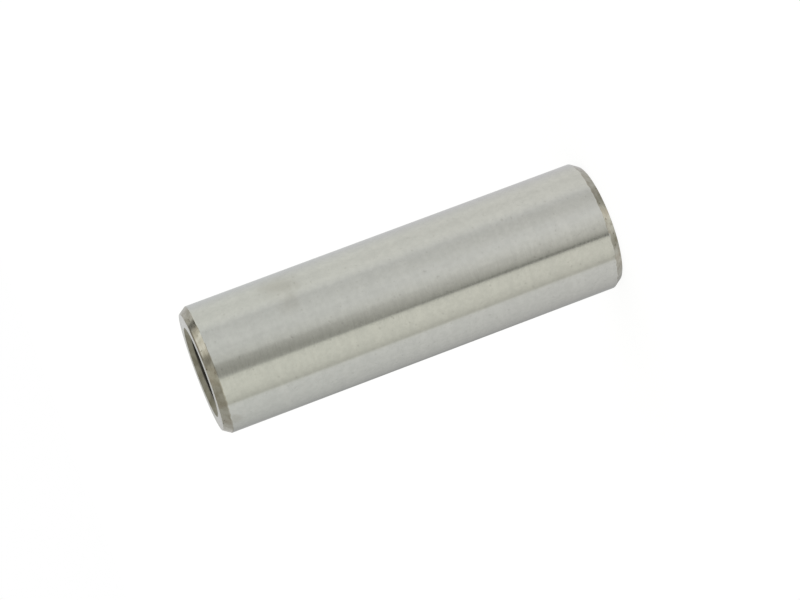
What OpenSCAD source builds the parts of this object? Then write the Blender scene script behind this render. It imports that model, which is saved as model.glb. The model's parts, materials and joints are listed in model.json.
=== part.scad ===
// Gudgeon pin: a hollow, ground steel pin that carries a piston on its connecting rod.
// Turned from one piece, it stands on its lower end face with its axis along Z.

/* [Pin] */
// Diameter of the ground outside
pin_d = 22; // [18:0.5:40]
// Length over the two end faces
pin_l = 70.7; // [40:0.1:120]

/* [Bore] */
// Diameter of the bore that runs right through
bore_d = 13; // [4:0.5:17]

/* [Outer chamfers] */
// Length of each outer chamfer along the axis
outer_chamfer_l = 1.3; // [0.4:0.1:4]
// Depth of each outer chamfer below the ground outside
outer_chamfer_depth = 0.9; // [0.3:0.05:2]

/* [Bore mouths] */
// Length of the chamfer at each mouth of the bore, along the axis
mouth_chamfer_l = 0.75; // [0.4:0.05:4]
// Depth of the chamfer at each mouth, outwards from the bore's wall
mouth_chamfer_depth = 1.25; // [0.3:0.05:2]

/* [Edges] */
// Radius that runs the ground outside into the outer chamfer
lead_in_r = 0.25; // [0.05:0.05:0.6]
// Radius that breaks the edges of the end face
face_edge_r = 0.12; // [0.02:0.02:0.3]
// Radius that runs the mouth chamfer into the bore
bore_edge_r = 0.15; // [0.05:0.05:0.4]

/* [Hidden] */
$fn = 128;
// Straight steps in each rounded corner
arc_steps = 4;

steel_colour = "#b9bbb5";

// Corners of the wall at the lower end, from the bore out to the ground outside
lower_corners = [
    [bore_d / 2, mouth_chamfer_l],
    [bore_d / 2 + mouth_chamfer_depth, 0],
    [pin_d / 2 - outer_chamfer_depth, 0],
    [pin_d / 2, outer_chamfer_l],
];
lower_radii = [bore_edge_r, face_edge_r, face_edge_r, lead_in_r];

// The upper end is the lower one turned over, so its corners follow in reverse
upper_corners = [for (corner = reversed(lower_corners)) [corner.x, pin_l - corner.y]];
wall_corners = concat(lower_corners, upper_corners);
wall_radii = concat(lower_radii, reversed(lower_radii));

function reversed(list) = [for (i = [len(list) - 1:-1:0]) list[i]];
function unit(v) = v / norm(v);

// Half of the angle inside the corner b, between the sides to a and c
function half_angle(a, b, c) = acos(unit(a - b) * unit(c - b)) / 2;

// Points on the arc of radius r that rounds the corner b, from the side to a round to the side to c
function corner_arc(a, b, c, r) =
    let (
        half = half_angle(a, b, c),
        centre = b + unit(unit(a - b) + unit(c - b)) * r / sin(half),
        first = b + unit(a - b) * r / tan(half) - centre,
        first_angle = atan2(first.y, first.x),
        turn = 180 - 2 * half
    )
    [
        for (step = [0:arc_steps])
            let (angle = first_angle + turn * step / arc_steps)
                centre + r * [cos(angle), sin(angle)]
    ];

// A convex outline, given counter-clockwise, with each corner rounded by its own radius
module rounded_outline(corners, radii) {
    count = len(corners);
    polygon([
        for (i = [0:count - 1])
            each corner_arc(corners[(i + count - 1) % count], corners[i], corners[(i + 1) % count], radii[i])
    ]);
}

module gudgeon_pin() {
    color(steel_colour)
        rotate_extrude()
            rounded_outline(wall_corners, wall_radii);
}

gudgeon_pin();
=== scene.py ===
# %% [markdown]
# # A gudgeon pin in a light tent
#
# A gudgeon pin is the short hollow shaft that joins a piston to its connecting rod. It is turned
# from one bar of steel, hardened, and ground on the outside until it slides in its bearings.
# The solid model of the pin is loaded first. It is the fixed frame: it gives every size and place
# below, and nothing in this lesson moves it or changes its shape.

# %% Load the frame
import json
import math

import bpy
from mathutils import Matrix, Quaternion, Vector


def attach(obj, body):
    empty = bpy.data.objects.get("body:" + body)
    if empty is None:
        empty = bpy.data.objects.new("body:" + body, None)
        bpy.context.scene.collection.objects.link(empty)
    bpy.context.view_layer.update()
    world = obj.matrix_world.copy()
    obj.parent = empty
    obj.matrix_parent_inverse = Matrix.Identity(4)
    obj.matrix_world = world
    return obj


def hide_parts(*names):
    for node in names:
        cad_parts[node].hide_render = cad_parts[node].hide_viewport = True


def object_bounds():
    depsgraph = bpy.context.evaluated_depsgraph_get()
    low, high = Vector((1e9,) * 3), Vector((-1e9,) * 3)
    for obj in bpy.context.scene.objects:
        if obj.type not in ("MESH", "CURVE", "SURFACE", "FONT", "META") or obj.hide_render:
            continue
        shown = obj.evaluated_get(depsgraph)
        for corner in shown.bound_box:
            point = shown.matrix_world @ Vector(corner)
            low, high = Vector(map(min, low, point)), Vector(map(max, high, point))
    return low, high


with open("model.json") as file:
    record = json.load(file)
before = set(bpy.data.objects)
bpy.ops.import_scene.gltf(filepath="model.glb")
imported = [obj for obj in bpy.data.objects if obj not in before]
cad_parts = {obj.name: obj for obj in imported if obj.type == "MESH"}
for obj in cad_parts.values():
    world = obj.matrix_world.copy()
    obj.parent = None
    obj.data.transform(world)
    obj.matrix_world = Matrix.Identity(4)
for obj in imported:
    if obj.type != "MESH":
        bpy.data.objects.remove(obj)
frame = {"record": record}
cad_low, cad_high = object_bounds()
print("pin as modelled, mm:", [round(side * 1000, 2) for side in cad_high - cad_low])

# %% [markdown]
# ## Sizes
#
# The pin stands on one end with its axis along Z, so its box gives the length and the diameter, and
# the record of the part gives the bore. Only the small cuts at the ends, which no box shows, are
# written here, as they would stand on a workshop drawing: a chamfer has a depth into the wall and a
# length along the axis, and an edge has the radius that rounds it.

# %% Sizes of the wall
MM = 0.001
pin_length = cad_high.z - cad_low.z
pin_radius = (cad_high.x - cad_low.x) / 2
bore_mount = next(m for m in frame["record"]["mounts"] if m["name"] == "bore")
bore_radius = bore_mount["dims"]["r_mm"] * MM

outer_chamfer = Vector((0.9, 1.3)) * MM
mouth_chamfer = Vector((1.25, 0.75)) * MM
lead_in_edge = 0.25 * MM
face_edge = 0.12 * MM
bore_edge = 0.15 * MM
for size_name, size in (("length", pin_length), ("outside", 2 * pin_radius), ("bore", 2 * bore_radius)):
    print(f"{size_name}: {size / MM:.1f} mm")

# %% [markdown]
# ## Helpers for node trees
#
# The shape, the finishes and the light are all node trees. Written out in full, every node takes a
# line to add it, one for each property and one for each link. Two helpers do that in one call, so
# that a cell further down shows what a tree does, and not how it is wired.

# %% Helpers: nodes and links
def feed(tree, socket, value):
    """Links the socket to another node's output, or gives it a plain value."""
    if isinstance(value, bpy.types.NodeSocket):
        tree.links.new(value, socket)
    else:
        socket.default_value = value


def add_node(tree, kind, inputs=None, **settings):
    """Adds a node, sets its own properties, and feeds its inputs by name or by number."""
    node = tree.nodes.new(kind)
    for name, value in settings.items():
        setattr(node, name, value)
    for key, value in (inputs or {}).items():
        feed(tree, node.inputs[key], value)
    return node


print("helpers for wiring:", feed.__name__, add_node.__name__)

# %% [markdown]
# Most marks on the steel are masks: a number from 0 to 1 says how strongly a mark shows at a point.
# Four more helpers work on them. One does arithmetic on numbers and one on places and directions,
# one lets a mask run smoothly from one limit to another, and one mixes two colours by a mask.

# %% Helpers: arithmetic, masks and colours
def calc(tree, operation, *values):
    """Arithmetic on numbers that vary over a surface. A third value and more repeat the same step."""
    total = add_node(tree, "ShaderNodeMath", dict(enumerate(values[:2])), operation=operation).outputs[0]
    for value in values[2:]:
        total = add_node(tree, "ShaderNodeMath", {0: total, 1: value}, operation=operation).outputs[0]
    return total


def vector_calc(tree, operation, inputs):
    """Arithmetic on places or directions. A distance or a dot product gives a number."""
    node = add_node(tree, "ShaderNodeVectorMath", inputs, operation=operation)
    return node.outputs["Value" if operation in ("DISTANCE", "DOT_PRODUCT") else "Vector"]


def ease(tree, value, start, end, low=0.0, high=1.0):
    """Runs smoothly from low at start to high at end, and stays level outside."""
    inputs = {"Value": value, "From Min": start, "From Max": end, "To Min": low, "To Max": high}
    return add_node(tree, "ShaderNodeMapRange", inputs, interpolation_type="SMOOTHSTEP").outputs[0]


def mix_colours(tree, share, first, second, blend_type="MIX"):
    """The first colour where share is 0, the second where it is 1."""
    inputs = {0: share, 6: first, 7: second}
    return add_node(tree, "ShaderNodeMix", inputs, data_type="RGBA", blend_type=blend_type).outputs[2]


print("helpers for masks:", calc.__name__, vector_calc.__name__, ease.__name__, mix_colours.__name__)

# %% [markdown]
# ## The camera
#
# The picture shows the pin lying on a slant, with one open end a little towards us. Here the pin
# stands upright, so the camera does the turning: it looks down on the pin from the side by a few
# degrees, and it is rolled about its own axis until the pin lies across the picture, with its top
# end on the left. A long lens from about 45 cm keeps the two outlines almost parallel.

# %% Place the camera
camera_distance = 448.5 * MM
camera_lift = math.radians(9.312)
camera_roll = math.radians(-110.58)
aim_point = Vector((-0.358, 0.0, 35.75)) * MM

camera_data = bpy.data.cameras.new("camera")
camera_data.sensor_width = 36.0
camera_data.lens = 122.42
camera = bpy.data.objects.new("camera", camera_data)
bpy.context.scene.collection.objects.link(camera)
bpy.context.scene.camera = camera

back = Vector((0.0, -math.cos(camera_lift), math.sin(camera_lift)))
camera.location = aim_point + back * camera_distance
camera.rotation_mode = "QUATERNION"
camera.rotation_quaternion = (-back).to_track_quat("-Z", "Y") @ Quaternion((0, 0, 1), camera_roll)
print("camera at", [round(c / MM, 1) for c in camera.location], "mm")

# %% [markdown]
# ## Marks that several finishes share
#
# A mark that more than one finish needs is made once, as a shader group with its own inputs, and
# is then placed in each material with other values. A group reads the point in the pin's own
# coordinates, so a mark keeps its place on the steel from wherever the pin is seen.

# %% Places on the pin, and new groups
def on_pin(tree):
    """The point on the pin, in the pin's own coordinates."""
    return add_node(tree, "ShaderNodeTexCoord").outputs["Object"]


def along_axes(tree):
    """X, Y and Z of the point on the pin, by name or by number."""
    return add_node(tree, "ShaderNodeSeparateXYZ", {0: on_pin(tree)}).outputs


def from_axis(tree):
    """How far the point is from the axis of the pin."""
    x, y, z = along_axes(tree)
    squares = calc(tree, "ADD", calc(tree, "MULTIPLY", x, x), calc(tree, "MULTIPLY", y, y))
    return calc(tree, "SQRT", squares)


def cloudy(tree, blob_size, detail):
    """The outputs of a noise over the pin, with blobs of about the given size."""
    scale = calc(tree, "DIVIDE", 1.0, blob_size)
    inputs = {"Vector": on_pin(tree), "Scale": scale, "Detail": detail}
    return add_node(tree, "ShaderNodeTexNoise", inputs).outputs


def new_group(name, numbers, outputs):
    """A shader group with number inputs and their usual values, and number outputs."""
    group = bpy.data.node_groups.new(name, "ShaderNodeTree")
    for socket_name, usual in numbers.items():
        socket = group.interface.new_socket(socket_name, in_out="INPUT", socket_type="NodeSocketFloat")
        socket.default_value = usual
    for socket_name in outputs:
        group.interface.new_socket(socket_name, in_out="OUTPUT", socket_type="NodeSocketFloat")
    return group, group.nodes.new("NodeGroupInput").outputs, group.nodes.new("NodeGroupOutput").inputs


print("helpers for places:", on_pin.__name__, along_axes.__name__, from_axis.__name__, cloudy.__name__)

# %% [markdown]
# Every surface of the pin was cut or ground while the pin turned, so every surface carries fine
# lines that run round the axis. One group makes them for all: it stretches a noise so that it
# changes quickly with height and with radius, and slowly on the way round. The same noise then
# gives rings on an end face and bands on a cylinder. A painted image would need a seam, and this
# needs none.

# %% Group: lines left by the tool
tool_lines, given, result = new_group("tool_lines", {"Spacing": 0.2 * MM, "Arc": 20 * MM}, ["Lines"])
x, y, z = along_axes(tool_lines)
stretched = add_node(tool_lines, "ShaderNodeCombineXYZ", {
    "X": calc(tool_lines, "DIVIDE", from_axis(tool_lines), given["Spacing"]),
    "Y": calc(tool_lines, "DIVIDE", z, given["Spacing"]),
    "Z": calc(tool_lines, "DIVIDE", x, given["Arc"]),
}).outputs[0]
line_noise = add_node(tool_lines, "ShaderNodeTexNoise", {
    "Vector": stretched,
    "W": calc(tool_lines, "DIVIDE", y, given["Arc"]),
    "Scale": 1.0,
    "Detail": 2.0,
}, noise_dimensions="4D")
feed(tool_lines, result["Lines"], line_noise.outputs[0])
print("group tool_lines:", [s.name for s in tool_lines.interface.items_tree])

# %% [markdown]
# Small dark specks sit on the pin where the skin of the steel has a pit or a grain of rust. They
# could be modelled one by one, but there are hundreds. A Voronoi texture scatters points evenly in
# space, and a random number for each point decides whether it becomes a speck at all. The place is
# bent by a noise first, because a pit is never a neat round dot.

# %% Group: specks
specks, given, result = new_group("specks", {"Spacing": 2 * MM, "Size": 0.2 * MM, "Share": 0.3}, ["Mask"])
bend_in_sizes = 3.0
solid_core = 0.3
middle_of_noise = 0.5

unevenness = cloudy(specks, given["Size"], 1.0)["Color"]
centred = vector_calc(specks, "SUBTRACT", {0: unevenness, 1: [middle_of_noise] * 3})
bend = calc(specks, "MULTIPLY", given["Size"], bend_in_sizes)
push = vector_calc(specks, "SCALE", {0: centred, "Scale": bend})
cells = add_node(specks, "ShaderNodeTexVoronoi", {
    "Vector": vector_calc(specks, "ADD", {0: on_pin(specks), 1: push}),
    "Scale": calc(specks, "DIVIDE", 1.0, given["Spacing"]),
}).outputs
reach = calc(specks, "DIVIDE", given["Size"], given["Spacing"])
dot = ease(specks, cells["Distance"], reach, calc(specks, "MULTIPLY", reach, solid_core))
chance = add_node(specks, "ShaderNodeSeparateColor", {0: cells["Color"]}).outputs[0]
chosen = calc(specks, "LESS_THAN", chance, given["Share"])
feed(specks, result["Mask"], calc(specks, "MULTIPLY", dot, chosen))
print("group specks:", [s.name for s in specks.interface.items_tree])

# %% [markdown]
# Tarnish lies on steel in soft patches. A plain noise has the right shape, and only the part of it
# above a limit is wanted. The limit is set by how much of the surface the patches should cover.

# %% Group: tarnish
tarnish, given, result = new_group("tarnish", {"Patch": 3 * MM, "Cover": 0.5}, ["Mask"])
patch_softness = 0.15
limit = calc(tarnish, "SUBTRACT", 1.0, given["Cover"])
fades_from = calc(tarnish, "SUBTRACT", limit, patch_softness)
full_from = calc(tarnish, "ADD", limit, patch_softness)
patches = cloudy(tarnish, given["Patch"], 4.0)[0]
feed(tarnish, result["Mask"], ease(tarnish, patches, fades_from, full_from))
print("group tarnish:", [s.name for s in tarnish.interface.items_tree])

# %% [markdown]
# The edge where a chamfer meets the ground outside is not a drawn line. The wheel runs out there,
# the edge is knocked, and oxide creeps over it. One mask tells the chamfer's side from the ground
# side, a few hundredths of a millimetre off the true edge and ragged with noise, and both finishes
# use it. Moving the edge in the mesh instead would change the shape of the pin, and wear this thin
# is only a change of colour.

# %% Group: the worn edge of a chamfer
worn_edge, given, result = new_group("worn_edge", {"Edge": 1.4 * MM, "Wander": 0.5 * MM}, ["Chamfer Side"])
knock_size = 0.9 * MM
edge_blur = 0.06 * MM
lower_end_shift = -0.08 * MM
upper_end_shift = 0.06 * MM


def from_nearer_end(tree):
    """How far the point is from the nearer end of the pin."""
    z = along_axes(tree)["Z"]
    return calc(tree, "MINIMUM", z, calc(tree, "SUBTRACT", pin_length, z))


x, y, z = along_axes(worn_edge)
ragged = calc(worn_edge, "SUBTRACT", cloudy(worn_edge, knock_size, 2.0)[0], middle_of_noise)
upper_shift = ease(worn_edge, x, 1.5 * MM, 4 * MM, upper_end_shift, -upper_end_shift)
shift = ease(worn_edge, z, 0.0, pin_length, lower_end_shift, upper_shift)
worn_at = calc(worn_edge, "ADD", calc(worn_edge, "MULTIPLY", ragged, given["Wander"]), given["Edge"], shift)
past_edge = calc(worn_edge, "SUBTRACT", from_nearer_end(worn_edge), worn_at)
feed(worn_edge, result["Chamfer Side"], ease(worn_edge, past_edge, edge_blur, -edge_blur))

lead_in_slope = math.atan2(outer_chamfer.x, outer_chamfer.y)
ground_edge = outer_chamfer.y + lead_in_edge * math.tan(lead_in_slope / 2)
print(f"the ground outside begins {ground_edge / MM:.2f} mm from each end")

# %% [markdown]
# ## The finishes
#
# All four finishes are the same steel, so they share one recipe: a metal that blurs what it
# reflects along the axis much more than round it, because its lines run round. They differ in
# colour, in how rough they are, and in the marks that lie on them.

# %% Bare steel
def bare_steel(name, across):
    """A metal material with a shader that stretches reflections across its tool lines."""
    material = bpy.data.materials.new(name)
    material.use_nodes = True
    tree = material.node_tree
    shader = tree.nodes["Principled BSDF"]
    shader.inputs["Metallic"].default_value = 1.0
    shader.inputs["Anisotropic"].default_value = across
    shader.inputs["Anisotropic Rotation"].default_value = 0.25
    round_axis = add_node(tree, "ShaderNodeTangent", direction_type="RADIAL", axis="Z")
    feed(tree, shader.inputs["Tangent"], round_axis.outputs[0])
    return material, tree, shader


pale_steel = (0.611, 0.615, 0.574, 1.0)
dull_steel = (0.535, 0.543, 0.511, 1.0)
print("steel from", dull_steel[:3], "to", pale_steel[:3])

# %% [markdown]
# Each finish is then dressed in the same three steps. Marks are laid over the bare colour, one after
# another. The lines make the roughness go up and down a little. And the lines stand up from the
# surface by a few thousandths of a millimetre, which is what catches the light.

# %% Dressing a finish
def use_group(tree, group, **values):
    """Places a shared group in a material with its own values, and gives its output."""
    return add_node(tree, "ShaderNodeGroup", values, node_tree=group).outputs[0]


def lay_over(tree, colour, layers):
    """Lays colours over the first one, each where its mask shows and as strongly as it says."""
    for mask, strength, layer_colour in layers:
        colour = mix_colours(tree, calc(tree, "MULTIPLY", mask, strength), colour, layer_colour)
    return colour


usual_lines = (0.3, 0.7)


def dress(tree, shader, colour, lines, roughness, relief, depth):
    """Gives the shader its colour, a roughness that follows the lines, and a relief in metres."""
    feed(tree, shader.inputs["Base Color"], colour)
    feed(tree, shader.inputs["Roughness"], ease(tree, lines, *usual_lines, *roughness))
    bump = add_node(tree, "ShaderNodeBump", {"Strength": 1.0, "Distance": depth, "Height": relief})
    feed(tree, shader.inputs["Normal"], bump.outputs[0])


print("helpers for finishes:", use_group.__name__, lay_over.__name__, dress.__name__)

# %% [markdown]
# ### The ground outside
#
# The bearing surface is the brightest. It has fine lines from the grinding wheel and broader ones
# from the wheel's passes, a slight cloud, and small pits in two sizes. All of them come from the
# shared groups, so this cell only says how close and how large they are.

# %% Ground outside: lines and pits
ground, tree, shader = bare_steel("ground_outside", across=0.8)
fine_lines = use_group(tree, tool_lines, Spacing=0.14 * MM, Arc=14 * MM)
wheel_lines = use_group(tree, tool_lines, Spacing=0.75 * MM, Arc=3 * MM)
broad_lines = use_group(tree, tool_lines, Spacing=1.2 * MM, Arc=20 * MM)
cloud = use_group(tree, tarnish, Patch=0.8 * MM, Cover=0.5)
small_pits = use_group(tree, specks, Spacing=0.9 * MM, Size=0.2 * MM, Share=0.45)
large_pits = use_group(tree, specks, Spacing=2.6 * MM, Size=0.3 * MM, Share=0.45)
chamfer_side = use_group(tree, worn_edge, Edge=ground_edge)
print("marks on the ground outside:", sum(n.type == "GROUP" for n in tree.nodes))

# %% [markdown]
# Three faint brown smears show where something was left to dry. Each is a soft blob round a point
# on the surface, and a noise breaks up its outline. They lie in certain places on the real pin, so
# they are listed here, with the way round in degrees from the camera's side.

# %% Ground outside: smears
def point_round(turn, radius, height):
    """A point at a turn in degrees from the camera's side, at a radius and a height."""
    way_round = math.radians(turn)
    return Vector((math.sin(way_round) * radius, -math.cos(way_round) * radius, height))


def distance_from(tree, point):
    """How far the point on the pin is from a fixed point."""
    return vector_calc(tree, "DISTANCE", {0: on_pin(tree), 1: point})


smear_marks = [
    {"turn": 53, "height": 55.0 * MM, "reach": 4.1 * MM, "strength": 0.92},
    {"turn": 30.5, "height": 54.4 * MM, "reach": 2.9 * MM, "strength": 0.68},
    {"turn": -55, "height": 68.6 * MM, "reach": 1.7 * MM, "strength": 0.9},
]
faint_from = 1.1
full_within = 0.1
ragged = calc(tree, "SUBTRACT", cloudy(tree, 3 * MM, 3.0)[0], middle_of_noise)
wander = calc(tree, "MULTIPLY", ragged, 5 * MM)
smears = []
for mark in smear_marks:
    centre = point_round(mark["turn"], pin_radius, mark["height"])
    offset = calc(tree, "ADD", distance_from(tree, centre), wander)
    limits = (faint_from * mark["reach"], full_within * mark["reach"])
    smears.append(ease(tree, offset, *limits, 0.0, mark["strength"]))
smear = calc(tree, "MINIMUM", calc(tree, "ADD", *smears), 1.0)
print("smears:", len(smears))

# %% [markdown]
# The marks go over the steel from the widest to the smallest, and the oxide that creeps over from
# the chamfer comes last. Pits are cut into the surface, so they count against the lines in the
# relief.

# %% Ground outside: colour and relief
cloud_colour = (0.47, 0.475, 0.445, 1.0)
smear_and_shade_colour = (0.34, 0.325, 0.275, 1.0)
pit_colour = (0.16, 0.15, 0.13, 1.0)
crept_oxide = (0.38, 0.36, 0.30, 1.0)

colour = lay_over(tree, mix_colours(tree, broad_lines, dull_steel, pale_steel), [
    (cloud, 0.27, cloud_colour),
    (smear, 0.36, smear_and_shade_colour),
    (small_pits, 0.2, pit_colour),
    (large_pits, 0.17, pit_colour),
    (chamfer_side, 0.8, crept_oxide),
])
wheel_relief = calc(tree, "MULTIPLY", wheel_lines, 1.5)
pit_relief = calc(tree, "MULTIPLY", large_pits, -2.0)
relief = calc(tree, "ADD", fine_lines, wheel_relief, pit_relief)
dress(tree, shader, colour, fine_lines, (0.13, 0.17), relief, 0.002 * MM)
print("material", ground.name, "with", len(tree.nodes), "nodes")

# %% [markdown]
# ### The turned chamfers
#
# The chamfers were cut before hardening and never ground, so they keep coarse turning lines and a
# thin brown oxide from the furnace, with darker specks in it. Oxide in two patch sizes lies one
# over the other, because a single size would look like camouflage. Beside the upper end face a dark
# line of painted shade follows the inner edge for a few millimetres: a mask by radius, times a mask by
# distance.

# %% Turned chamfers: marks
turned, tree, shader = bare_steel("turned_chamfer", across=0.5)
coarse_lines = use_group(tree, tool_lines, Spacing=0.16 * MM, Arc=6 * MM)
oxide = use_group(tree, tarnish, Patch=1.4 * MM, Cover=0.5)
bloom = use_group(tree, tarnish, Patch=2.6 * MM, Cover=0.4)
rust = use_group(tree, specks, Spacing=0.9 * MM, Size=0.25 * MM, Share=0.5)
chamfer_side = use_group(tree, worn_edge, Edge=ground_edge)

inner_edge = pin_radius - outer_chamfer.x
# Painted shade: a dark line along the inner edge beside the upper end face.
shade_line_middle = point_round(26, inner_edge, pin_length)
beside_face = ease(tree, from_axis(tree), inner_edge + 0.2 * MM, inner_edge + 0.08 * MM)
near_shade_line = ease(tree, distance_from(tree, shade_line_middle), 3.5 * MM, 2.3 * MM)
painted_shade_line = calc(tree, "MULTIPLY", beside_face, near_shade_line)
print("marks on the chamfers:", sum(n.type == "GROUP" for n in tree.nodes), "and a scuff")

# %% [markdown]
# The colours go from bare steel that has yellowed a little to brown and to nearly black. The worn
# edge comes last, and it does the opposite of what it does on the outside: where the wheel has
# reached over the edge, the chamfer shows bright ground steel.

# %% Turned chamfers: colour and relief
bare_chamfer = (0.456, 0.447, 0.391, 1.0)
oxide_colour = (0.337, 0.32, 0.262, 1.0)
bloom_colour = (0.367, 0.328, 0.272, 1.0)
rust_and_shade_colour = (0.12, 0.10, 0.07, 1.0)

colour = lay_over(tree, bare_chamfer, [
    (oxide, 1.0, oxide_colour),
    (bloom, 0.6, bloom_colour),
    (rust, 0.8, rust_and_shade_colour),
    # painted shade along the inner edge, in the same dark colour as the rust
    (painted_shade_line, 0.8, rust_and_shade_colour),
])
colour = mix_colours(tree, chamfer_side, pale_steel, colour)
dress(tree, shader, colour, coarse_lines, (0.16, 0.28), coarse_lines, 0.008 * MM)
print("material", turned.name, "with", len(tree.nodes), "nodes")

# %% [markdown]
# ### The faced ends
#
# The flat ring at each end was faced with a sharp tool, so it is as bright as the outside, and the
# shared lines make fine rings on it. Painted shade darkens the ring on its -X side and fades towards
# the middle. The ring is narrow, so a plain slope along X is enough for that.

# %% Faced ends
faced, tree, shader = bare_steel("faced_end", across=0.6)
ring_lines = use_group(tree, tool_lines, Spacing=0.12 * MM, Arc=12 * MM)
# Painted shade on the -X side of the ring, in the smears' brown-grey colour.
painted_side_shade = ease(tree, along_axes(tree)["X"], -3 * MM, -8 * MM, 0.0, 0.42)
faced_colour = mix_colours(tree, ring_lines, dull_steel, pale_steel)
faced_colour = mix_colours(tree, painted_side_shade, faced_colour, smear_and_shade_colour)
dress(tree, shader, faced_colour, ring_lines, (0.22, 0.32), ring_lines, 0.003 * MM)
print("material", faced.name, "with", len(tree.nodes), "nodes")

# %% [markdown]
# ### The bore
#
# The bore was drilled and left as it was. Its mouths are olive with oxide. Behind them the wall is
# dark, partly with scale and partly with painted shade, which is darkest on the +X side and within a
# few millimetres of each mouth; further in, the wall is brighter steel. One material does it all: the
# distance from the axis tells a mouth from the wall, and the distance from the nearer end tells how
# deep a point lies. Clean metal turns white at a glancing angle and oxide does not, so the specular
# tint takes that white away.

# %% Bore: marks
drilled, tree, shader = bare_steel("drilled_bore", across=0.4)
drill_lines = use_group(tree, tool_lines, Spacing=0.5 * MM, Arc=8 * MM)
scale_patches = use_group(tree, tarnish, Patch=4 * MM, Cover=0.5)
mouth_patches = use_group(tree, tarnish, Patch=1.4 * MM, Cover=0.5)
# Painted shade: the wall is darkest on the +X side, and this mask runs from there to the lighter -X side.
less_shaded_side = ease(tree, along_axes(tree)["X"], 4.5 * MM, -2 * MM)
deep_inside = ease(tree, from_nearer_end(tree), 4 * MM, 10 * MM)
at_mouth = ease(tree, from_axis(tree), bore_radius, bore_radius + bore_edge)
print("marks in the bore:", sum(n.type == "GROUP" for n in tree.nodes), "and three slopes")

# %% [markdown]
# Each part of the bore has a pair of colours, clean and patchy, and the tarnish group mixes the two.
# The three slopes then lead from one part to the next: across the painted shade from the +X side,
# into the depth, and out to the mouth.

# %% Bore: colour and relief
# The first two pairs are scale with painted shade: very dark on the +X side, lighter on the -X side.
scale_in_painted_shade = mix_colours(tree, scale_patches, (0.055, 0.052, 0.046, 1.0), (0.037, 0.035, 0.03, 1.0))
scale_in_light_shade = mix_colours(tree, scale_patches, (0.26, 0.248, 0.22, 1.0), (0.174, 0.165, 0.142, 1.0))
deep_wall = mix_colours(tree, scale_patches, (0.44, 0.43, 0.40, 1.0), (0.34, 0.33, 0.30, 1.0))
olive_mouth = mix_colours(tree, mouth_patches, (0.374, 0.363, 0.31, 1.0), (0.275, 0.264, 0.213, 1.0))

bore_colour = mix_colours(tree, less_shaded_side, scale_in_painted_shade, scale_in_light_shade)
bore_colour = mix_colours(tree, deep_inside, bore_colour, deep_wall)
bore_colour = mix_colours(tree, at_mouth, bore_colour, olive_mouth)
shader.inputs["Specular Tint"].default_value = (0.62, 0.61, 0.55, 1.0)
dress(tree, shader, bore_colour, drill_lines, (0.24, 0.34), drill_lines, 0.01 * MM)
print("material", drilled.name, "with", len(tree.nodes), "nodes")

# %% [markdown]
# ## A lathe made of nodes
#
# The whole pin follows one rule: a wall section, turned once round the axis. A cylinder with
# bevelled edges would only come near it, and a Spin in the mesh editor leaves a seam to weld. So a
# Geometry Nodes tree does what the lathe does. It takes the sizes as named inputs, draws the eight
# corners of the wall, rounds each corner by its own radius, and sweeps the section along a circle.

# %% Lathe: named inputs
lathe = bpy.data.node_groups.new("pin_lathe", "GeometryNodeTree")
wall_sizes = {
    "Length": pin_length,
    "Outside Radius": pin_radius,
    "Bore Radius": bore_radius,
    "Outer Chamfer Depth": outer_chamfer.x,
    "Outer Chamfer Length": outer_chamfer.y,
    "Mouth Chamfer Depth": mouth_chamfer.x,
    "Mouth Chamfer Length": mouth_chamfer.y,
    "Lead In Edge": lead_in_edge,
    "Face Edge": face_edge,
    "Bore Edge": bore_edge,
    "Longest Step": 3 * MM,
}
for name in wall_sizes:
    lathe.interface.new_socket(name, in_out="INPUT", socket_type="NodeSocketFloat")
lathe.interface.new_socket("Segments", in_out="INPUT", socket_type="NodeSocketInt")
lathe.interface.new_socket("Pin", in_out="OUTPUT", socket_type="NodeSocketGeometry")
given = lathe.nodes.new("NodeGroupInput").outputs
print("inputs of the lathe:", len(wall_sizes) + 1)

# %% [markdown]
# Corners 0 to 3 run from the bore to the outside at the upper end, and corners 4 to 7 run back at
# the lower end. The two ends are alike, so a corner and its match at the other end share a radius
# and a distance from their end, and only the height is counted from above or from below.

# %% Lathe: the corners of the wall
def pick(index, choices):
    """The choice whose number is the index."""
    node = add_node(lathe, "GeometryNodeIndexSwitch", data_type="FLOAT")
    while len(node.index_switch_items) < len(choices):
        node.index_switch_items.new()
    feed(lathe, node.inputs["Index"], index)
    for number, choice in enumerate(choices):
        feed(lathe, node.inputs[1 + number], choice)
    return node.outputs[0]


corner_count = 8
corner = add_node(lathe, "GeometryNodeInputIndex").outputs[0]
matching = calc(lathe, "MINIMUM", corner, calc(lathe, "SUBTRACT", corner_count - 1.0, corner))
at_lower_end = calc(lathe, "GREATER_THAN", corner, corner_count / 2 - 0.5)
wall_radius = pick(matching, [
    given["Bore Radius"],
    calc(lathe, "ADD", given["Bore Radius"], given["Mouth Chamfer Depth"]),
    calc(lathe, "SUBTRACT", given["Outside Radius"], given["Outer Chamfer Depth"]),
    given["Outside Radius"],
])
rise = pick(matching, [given["Mouth Chamfer Length"], 0.0, 0.0, given["Outer Chamfer Length"]])
edge_names = ["Bore Edge", "Face Edge", "Face Edge", "Lead In Edge"]
edge_radius = pick(matching, [given[name] for name in edge_names])
from_top = calc(lathe, "SUBTRACT", given["Length"], rise)
height_choice = {0: at_lower_end, 1: from_top, 2: rise}
height = add_node(lathe, "GeometryNodeSwitch", height_choice, input_type="FLOAT").outputs[0]
print("corners of the wall:", corner_count)

# %% [markdown]
# The section is drawn flat, with the radius measured from the middle of the wall, because the sweep
# carries it along a circle of that middle radius, and head down, because the sweep hangs it from
# its Y axis. Fillet Curve then rounds every corner by its own radius.

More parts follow.
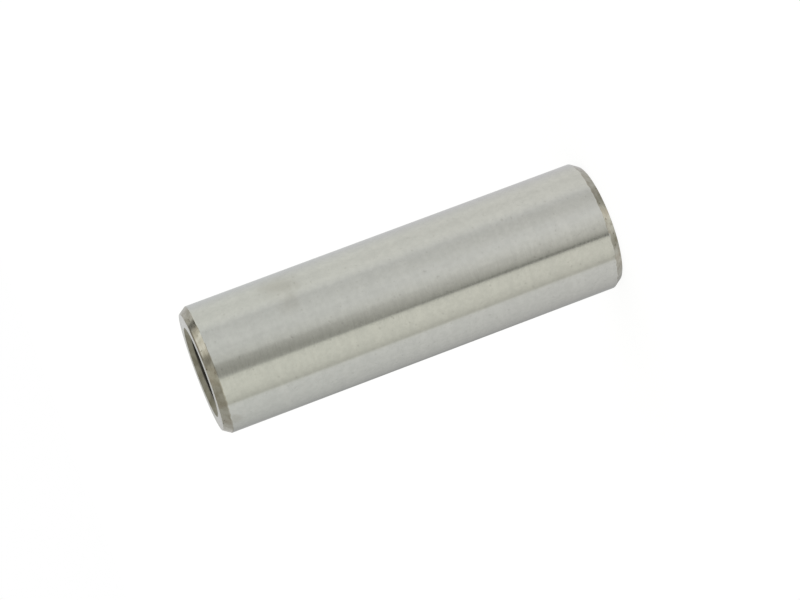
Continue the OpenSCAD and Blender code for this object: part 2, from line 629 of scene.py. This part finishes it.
# %% Lathe: the wall section
middle = calc(lathe, "MULTIPLY", calc(lathe, "ADD", given["Outside Radius"], given["Bore Radius"]), 0.5)
section_place = add_node(lathe, "ShaderNodeCombineXYZ", {
    "X": calc(lathe, "SUBTRACT", wall_radius, middle),
    "Y": calc(lathe, "MULTIPLY", height, -1.0),
}).outputs[0]
points = add_node(lathe, "GeometryNodePoints", {"Count": corner_count, "Position": section_place})
outline = add_node(lathe, "GeometryNodePointsToCurves", {"Points": points.outputs[0]})
closed = add_node(lathe, "GeometryNodeSetSplineCyclic", {"Geometry": outline.outputs[0], "Cyclic": True})
rounded = add_node(lathe, "GeometryNodeFilletCurve", {
    "Curve": closed.outputs[0],
    "Radius": edge_radius,
    "Count": 6,
}, mode="POLY")
print("nodes so far:", len(lathe.nodes))

# %% [markdown]
# The two long straight stretches, the outside and the bore, are cut into steps, so that no face is a
# long thin sliver. The length of a stretch is the distance to the next point of the curve. The
# section is then swept along the circle, and the sweep closes on itself without a seam.

# %% Lathe: steps and sweep
here = add_node(lathe, "GeometryNodeInputPosition").outputs[0]
next_point = add_node(lathe, "GeometryNodeOffsetPointInCurve", {"Offset": 1}).outputs["Point Index"]
at_next = {"Value": here, "Index": next_point}
there = add_node(lathe, "GeometryNodeFieldAtIndex", at_next, data_type="FLOAT_VECTOR").outputs[0]
stretch = vector_calc(lathe, "DISTANCE", {0: here, 1: there})
cuts = calc(lathe, "FLOOR", calc(lathe, "DIVIDE", stretch, given["Longest Step"]))
section = add_node(lathe, "GeometryNodeSubdivideCurve", {"Curve": rounded.outputs[0], "Cuts": cuts})
circle = add_node(lathe, "GeometryNodeCurvePrimitiveCircle", {
    "Resolution": given["Segments"],
    "Radius": middle,
}, mode="RADIUS")
swept = add_node(lathe, "GeometryNodeCurveToMesh", {
    "Curve": circle.outputs[0],
    "Profile Curve": section.outputs[0],
})
print("nodes so far:", len(lathe.nodes))

# %% [markdown]
# Rounded edges next to large faces would pull the shading of those faces askew. So each point takes
# its normal from the faces round it by their area: the large face wins, and the narrow faces of the
# rounded edge carry the whole turn.

# %% Lathe: shading by area
face_normal = add_node(lathe, "GeometryNodeInputNormal").outputs["True Normal"]
face_area = add_node(lathe, "GeometryNodeInputMeshFaceArea").outputs[0]
by_area = vector_calc(lathe, "SCALE", {0: face_normal, "Scale": face_area})
gathered = add_node(lathe, "GeometryNodeFieldOnDomain", {0: by_area}, domain="FACE", data_type="FLOAT_VECTOR")
shaded = add_node(lathe, "GeometryNodeSetMeshNormal", {
    "Mesh": swept.outputs[0],
    "Custom Normal": gathered.outputs[0],
}, mode="FREE", domain="POINT")
smooth = add_node(lathe, "GeometryNodeSetShadeSmooth", {"Geometry": shaded.outputs[0]})
whole = add_node(lathe, "GeometryNodeRealizeInstances", {"Geometry": smooth.outputs[0]}).outputs[0]
print("nodes so far:", len(lathe.nodes))

# %% [markdown]
# The tree also knows which tool made which surface, because the direction of a face tells. Every
# face starts as a turned chamfer. Straight out is the ground outside, up or down is a faced end, and
# anything that looks inwards belongs to the bore, its slanted mouths and their edges among them.

# %% Lathe: a finish for each surface
level_place = vector_calc(lathe, "MULTIPLY", {0: here, 1: (1.0, 1.0, 0.0)})
outwards = vector_calc(lathe, "NORMALIZE", {0: level_place})
radial = vector_calc(lathe, "DOT_PRODUCT", {0: face_normal, 1: outwards})
upright = calc(lathe, "ABSOLUTE", add_node(lathe, "ShaderNodeSeparateXYZ", {0: face_normal}).outputs["Z"])
square_on = math.cos(math.radians(1.0))
inwards = -0.1

for finish, chosen in (
    (turned, True),
    (ground, calc(lathe, "GREATER_THAN", radial, square_on)),
    (faced, calc(lathe, "GREATER_THAN", upright, square_on)),
    (drilled, calc(lathe, "LESS_THAN", radial, inwards)),
):
    whole = add_node(lathe, "GeometryNodeSetMaterial", {
        "Geometry": whole,
        "Selection": chosen,
        "Material": finish,
    }).outputs[0]
feed(lathe, lathe.nodes.new("NodeGroupOutput").inputs["Pin"], whole)
print("lathe has", len(lathe.nodes), "nodes")

# %% [markdown]
# The tree is put on an empty mesh and given its sizes. The result is then kept as a plain mesh, and
# the tree comes off again. It stands for the solid model of the pin, and it moves with it.

# %% Turn the pin
segments = 256
pin = bpy.data.objects.new("turned_pin", bpy.data.meshes.new("bar_stock"))
bpy.context.scene.collection.objects.link(pin)
turning = pin.modifiers.new("turning", "NODES")
turning.node_group = lathe
for item in lathe.interface.items_tree:
    if item.in_out == "INPUT":
        turning[item.identifier] = wall_sizes.get(item.name, segments)

evaluated = pin.evaluated_get(bpy.context.evaluated_depsgraph_get())
pin_mesh = bpy.data.meshes.new_from_object(evaluated)
pin.modifiers.clear()
pin.data = pin_mesh
pin_mesh.name = "turned_pin"
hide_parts("gudgeon_pin")
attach(pin, "root")
print("turned pin:", len(pin_mesh.vertices), "points,", len(pin_mesh.polygons), "faces")
print("its finishes:", [m.name for m in pin_mesh.materials])

# %% [markdown]
# ## The floor
#
# The pin stands on a plain pale floor, one large square. The steel doesn't show it: seen from a
# little above, the outside of a standing pin reflects only what lies just below the horizon, and a
# white floor there would wipe out every band. So the floor is hidden from glossy rays, and they see
# the tent of the next step.

# %% Lay the floor
floor_reach = 3.0
floor_corners = [(-1, -1, 0), (1, -1, 0), (1, 1, 0), (-1, 1, 0)]
floor_mesh = bpy.data.meshes.new("floor")
floor_mesh.from_pydata([Vector(c) * floor_reach for c in floor_corners], [], [(0, 1, 2, 3)])
floor = bpy.data.objects.new("floor", floor_mesh)
bpy.context.scene.collection.objects.link(floor)
floor.visible_glossy = False
print("floor:", 2 * floor_reach, "m across")

# %% [markdown]
# The camera should see white paper on the floor, with only a breath of shadow where the pin stands.
# So most of what it sees is a white glow, and the rest is a matt surface that takes the shadow. A
# lamp strong enough to make the paper white would also burn out the steel. The glow is for the
# camera alone and lights nothing.

# %% White paper on the floor
paper_colour = (0.85, 0.85, 0.85, 1.0)
glow_strength = 1.12
glow_share = 0.8

paper = bpy.data.materials.new("white_paper")
paper.use_nodes = True
tree = paper.node_tree
tree.nodes.clear()
seen = add_node(tree, "ShaderNodeLightPath").outputs["Is Camera Ray"]
matt = add_node(tree, "ShaderNodeBsdfDiffuse", {"Color": paper_colour})
glow = add_node(tree, "ShaderNodeEmission", {"Color": (1.0, 1.0, 1.0, 1.0), "Strength": glow_strength})
blend = add_node(tree, "ShaderNodeMixShader", {
    0: calc(tree, "MULTIPLY", seen, glow_share),
    1: matt.outputs[0],
    2: glow.outputs[0],
})
add_node(tree, "ShaderNodeOutputMaterial", {"Surface": blend.outputs[0]})
floor_mesh.materials.append(paper)
print("paper:", len(tree.nodes), "nodes")

# %% [markdown]
# ## The light tent
#
# Bare steel has hardly any look of its own: it shows what stands round it. So the light is a tent,
# painted on the world by direction. Lamps would give the same light, but the edges of their
# reflections would be hard to place. Every direction has a compass angle, 0 at the camera's side
# and positive towards +X, and a lift above the horizon. The outside of the pin shows lifts from -5
# degrees at its upper end to -14 degrees at its lower end. A change by lift is therefore a change
# along the pin, and a change by compass is a change across it.

# %% Tent: directions
world = bpy.data.worlds.new("light_tent")
bpy.context.scene.world = world
world.use_nodes = True
tent = world.node_tree
tent.nodes.clear()
direction = add_node(tent, "ShaderNodeTexCoord").outputs["Generated"]
east, north, up = add_node(tent, "ShaderNodeSeparateXYZ", {0: direction}).outputs
compass = calc(tent, "DEGREES", calc(tent, "ARCTAN2", east, calc(tent, "MULTIPLY", north, -1.0)))
lift = calc(tent, "DEGREES", calc(tent, "ARCSINE", up))


def by_compass(start, end, low=0.0, high=1.0):
    """Runs smoothly from low to high between two compass angles."""
    return ease(tent, compass, start, end, low, high)


def by_lift(start, end, low=0.0, high=1.0):
    """Runs smoothly from low to high between two lifts."""
    return ease(tent, lift, start, end, low, high)


print("directions of the tent, in degrees: compass and lift")

# %% [markdown]
# The walls of the tent are pale cloth, dimmer behind the pin. To the left of the camera stands a
# warm card, with a thin darker line along its outer edge, and on the right the cloth grows dimmer
# towards a crease. A colour ramp goes once round the compass, with a stop wherever the light
# changes. Each stop is a light level and how warm it is.

# %% Tent: cloth and card round the compass
def cloth(level, warmth=0.0):
    """A light level with less blue, and a touch less green, where it is warm."""
    return (level, level * (1.0 - 0.12 * warmth), level * (1.0 - warmth), 1.0)


behind_on_the_left = {
    -180: cloth(0.70),
    -165: cloth(0.32),
    -147: cloth(0.53),
    -128: cloth(0.68),
    -105: cloth(0.80),
    -82: cloth(0.86),
}
line_beside_the_card = {
    -76: cloth(0.87, 0.01),
    -74.2: cloth(0.85, 0.02),
    -72.4: cloth(0.71, 0.07),
    -71: cloth(0.635, 0.085),
    -69: cloth(0.675, 0.085),
    -65: cloth(0.75, 0.085),
}
warm_card = {
    -60: cloth(0.82, 0.08),
    -55: cloth(0.855, 0.08),
    -48: cloth(0.9, 0.08),
    -40: cloth(0.915, 0.08),
    -24: cloth(0.915, 0.08),
    -10: cloth(0.93, 0.04),
}
cloth_on_the_right = {
    20: cloth(0.95),
    28: cloth(0.91),
    38: cloth(0.905),
    46: cloth(0.878),
    58: cloth(0.827),
    63.5: cloth(0.79),
    69: cloth(0.885, 0.01),
    75: cloth(0.935, 0.02),
    82: cloth(0.95, 0.03),
}
behind_on_the_right = {
    102: cloth(0.89, 0.03),
    115: cloth(0.93, 0.03),
    147: cloth(0.77, -0.03),
    162: cloth(0.70, -0.03),
    180: cloth(0.74),
}
once_round = {
    **behind_on_the_left,
    **line_beside_the_card,
    **warm_card,
    **cloth_on_the_right,
    **behind_on_the_right,
}
full_turn = 360.0
ramp_place = calc(tent, "ADD", calc(tent, "DIVIDE", compass, full_turn), 0.5)
ramp = add_node(tent, "ShaderNodeValToRGB", {0: ramp_place})
while len(ramp.color_ramp.elements) < len(once_round):
    ramp.color_ramp.elements.new(1.0)
for element, (angle, light) in zip(ramp.color_ramp.elements, once_round.items()):
    element.position = angle / full_turn + 0.5
    element.color = light
walls = ramp.outputs[0]
print("stops round the compass:", len(once_round))

# %% [markdown]
# The lens looks in through a dark slot between the card and the cloth. Its reflection is the dark
# band along the pin. The slot is wide for the upper end of the pin and narrow for the lower end, and
# its edge beside the card leans. The cloth near it is dimmed, and towards the lower end a gap opens
# at the very edge and draws a thin black line.

# %% Tent: the slot for the lens
slot_edge = calc(tent, "ADD", calc(tent, "MULTIPLY", lift, 0.65), -17.0)
slot_width = by_lift(-11.0, -5.0, 2.3, 23.3)
edge_softness = by_lift(-11.0, -5.0, 0.7, 3.6)
far_softness = by_lift(-9.8, -7.0, 14.0, 1.5)
from_edge = calc(tent, "SUBTRACT", compass, slot_edge)
from_far_edge = calc(tent, "SUBTRACT", from_edge, slot_width)
past_card = ease(tent, calc(tent, "DIVIDE", from_edge, edge_softness), -1.0, 1.0)

slot = calc(tent, "MULTIPLY", past_card, ease(tent, from_far_edge, far_softness, -2.0))
gap = calc(tent, "MULTIPLY", past_card, ease(tent, from_edge, 5.4, 2.4), by_lift(-6.0, -12.0))
dimmed = calc(tent, "MULTIPLY", past_card, ease(tent, from_far_edge, 40.0, -7.0),
              by_lift(-9.0, -14.0, 1.0, 0.6), by_compass(-1.5, 1.5, 1.06, 0.66))
for share, light in ((dimmed, cloth(0.6, 0.06)), (slot, cloth(0.37, 0.09)), (gap, cloth(0.05, 0.09))):
    walls = mix_colours(tent, share, walls, light)
print("slot for the lens: a dimmed part, the slot and a gap")

# %% [markdown]
# Cloth never hangs quite even. A fold beside the slot, a seam below it and a part that lies in the
# dusk each take a few hundredths off the light there, so they multiply what is behind them. A faint
# tint goes over it all, from greenish light for the upper end of the pin to reddish for the lower.

# %% Tent: fold, seam, dusk and tint
fold = calc(tent, "MULTIPLY", by_compass(25.6, 23.6), by_compass(3.0, 22.0), by_lift(-11.0, -6.5))
from_seam = calc(tent, "ABSOLUTE", calc(tent, "SUBTRACT", compass, 25.3))
seam = calc(tent, "MULTIPLY", ease(tent, from_seam, 3.2, 0.8), by_lift(-12.8, -10.5))
dusk = calc(tent, "MULTIPLY", by_compass(64.0, 54.0), by_compass(24.0, 44.0), by_lift(-6.0, -14.0))
greenish = (1.0, 1.01, 1.0, 1.0)
reddish = (1.006, 0.992, 0.992, 1.0)
tint = mix_colours(tent, by_lift(-5.0, -13.5), greenish, reddish)
for share, shade in ((fold, cloth(0.953)), (seam, cloth(0.958)), (dusk, cloth(0.857, 0.02)), (1.0, tint)):
    walls = mix_colours(tent, share, walls, shade, blend_type="MULTIPLY")
print("walls of the tent:", len(tent.nodes), "nodes")

# %% [markdown]
# The chamfers and the end faces look elsewhere. Those at the upper end show what hangs overhead: a
# dimmer upper cloth, a pale roof, a bright panel, and cards beside it. Each piece is a soft-edged
# part of the tent between two compass angles and two lifts, and a later piece of the list hangs in
# front of an earlier one.

# %% Tent: behind and overhead
def patch(left, right, low, high, soft):
    """A soft-edged part of the tent, between two compass angles and two lifts."""
    sides = (by_compass(left - soft, left + soft), by_compass(right + soft, right - soft))
    ends = (by_lift(low - soft, low + soft), by_lift(high + soft, high - soft))
    return calc(tent, "MULTIPLY", *sides, *ends)


def hang(light, pieces):
    """Hangs pieces in the tent, each in front of the one before, and gives the light with them."""
    for share, level in pieces.values():
        light = mix_colours(tent, share, light, level)
    return light


far_round = ease(tent, calc(tent, "ABSOLUTE", compass), 125.0, 150.0)
overhead = {
    "back wall": (calc(tent, "MULTIPLY", far_round, by_lift(-2.0, 3.0)), cloth(0.76)),
    "upper cloth": (by_lift(30.0, 44.0), cloth(0.56, 0.1)),
    "roof": (by_lift(74.0, 82.0), cloth(0.88, 0.03)),
    "bright panel": (patch(37, 100.5, 39, 66, 4), cloth(1.34, 0.05)),
    "black card beside it": (patch(103.5, 119, 31, 44.5, 3), cloth(0.1, 0.05)),
    "grey card over the camera": (patch(12, 35, 57, 68, 4), cloth(0.42, 0.05)),
    "warm card over the camera": (patch(-54, 10, 59, 69, 4), cloth(0.88, 0.1)),
    "pale cloth behind": (patch(128, 152, 14, 30, 4), cloth(0.78)),
    "dim cloth on the left": (patch(-150, -95, 18, 44, 5), cloth(0.6, 0.05)),
}
walls_and_roof = hang(walls, overhead)
print("overhead:", ", ".join(overhead))

# %% [markdown]
# The lower chamfer looks down, and there the tent goes on below the horizon: an apron of cloth in two
# shades, a bright base, and cards and patches between them. Two dark strips far behind show only
# along one outline of the pin, where the steel is seen at a glancing angle.

# %% Tent: below
below = {
    "apron": (by_lift(-22.0, -40.0), cloth(0.84)),
    "foot of the apron": (by_lift(-40.0, -54.0), cloth(0.76)),
    "pale patch on the left": (patch(-145, -100, -62, -48, 4), cloth(0.95)),
    "dim patch behind": (patch(-168, -135, -44, -28, 4), cloth(0.66)),
    "grey card on the right": (patch(55, 140, -78, -62.5, 4), cloth(0.48, 0.1)),
    "grey card on the left": (patch(-140, -55, -77, -63, 4), cloth(0.6, 0.1)),
    "base": (by_lift(-72.0, -79.0), cloth(1.08, 0.04)),
    "bright patch of the base": (patch(0, 80, -86, -76, 3), cloth(1.45, 0.04)),
    "lower strip behind": (patch(-178, -152, -30, -12.3, 1.2), cloth(0.47)),
    "upper strip behind": (patch(-178, -152, -6.5, 0, 1.2), cloth(0.47)),
}
whole_tent = hang(walls_and_roof, below)
print("below:", ", ".join(below))

# %% [markdown]
# The camera itself sees white all round, as on a photographer's white background. Light Path tells
# its rays from all others, so the white doesn't reach the steel. The Standard view shows a colour
# about as it is written, which keeps the levels above honest.

# %% Tent: white for the camera
seen = add_node(tent, "ShaderNodeLightPath").outputs["Is Camera Ray"]
shown = mix_colours(tent, seen, whole_tent, cloth(1.0))
backdrop = add_node(tent, "ShaderNodeBackground", {"Color": shown, "Strength": 1.0})
add_node(tent, "ShaderNodeOutputWorld", {"Surface": backdrop.outputs[0]})
bpy.context.scene.view_settings.view_transform = "Standard"
print("light tent:", len(tent.nodes), "nodes")
